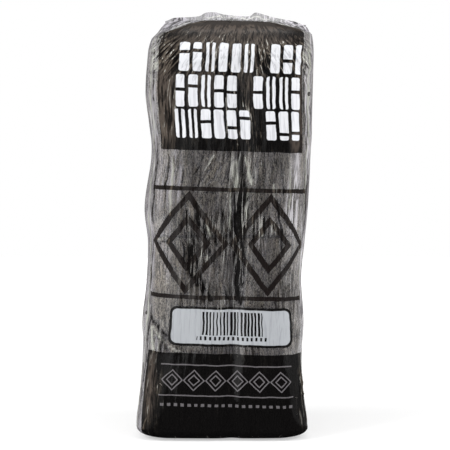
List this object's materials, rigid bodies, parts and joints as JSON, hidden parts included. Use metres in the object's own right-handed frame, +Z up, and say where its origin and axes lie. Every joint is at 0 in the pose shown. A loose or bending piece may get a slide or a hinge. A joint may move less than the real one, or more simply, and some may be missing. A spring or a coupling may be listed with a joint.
{
  "type": "steel wool pad pack",
  "caption": "Upright sealed sleeve of clear printed film, packed tight with rolled hand pads of steel wool in stacked columns.",
  "frame": {"origin": "middle of the base, on the surface that the pack stands on", "axes": "+Z up along the sleeve, -Y towards the printed front, +X to the right as seen from the front"},
  "size_m": [0.1257, 0.0762, 0.3011],
  "materials": {
    "film": "clear glossy polythene film with black and white ink fields on its front",
    "steel_wool": "fine matted steel fibre, mostly upright strands"
  },
  "bodies": {
    "root": {"film_sleeve": "film", "pad_row1_left_front": "steel_wool", "pad_row1_left_back": "steel_wool", "pad_row1_right_front": "steel_wool", "pad_row1_right_back": "steel_wool", "pad_row2_left_front": "steel_wool", "pad_row2_left_back": "steel_wool", "pad_row2_right_front": "steel_wool", "pad_row2_right_back": "steel_wool", "pad_row3_left_front": "steel_wool", "pad_row3_left_back": "steel_wool", "pad_row3_right_front": "steel_wool", "pad_row3_right_back": "steel_wool", "pad_row4_left_front": "steel_wool", "pad_row4_left_back": "steel_wool", "pad_row4_right_front": "steel_wool", "pad_row4_right_back": "steel_wool"}
  },
  "joints": []
}
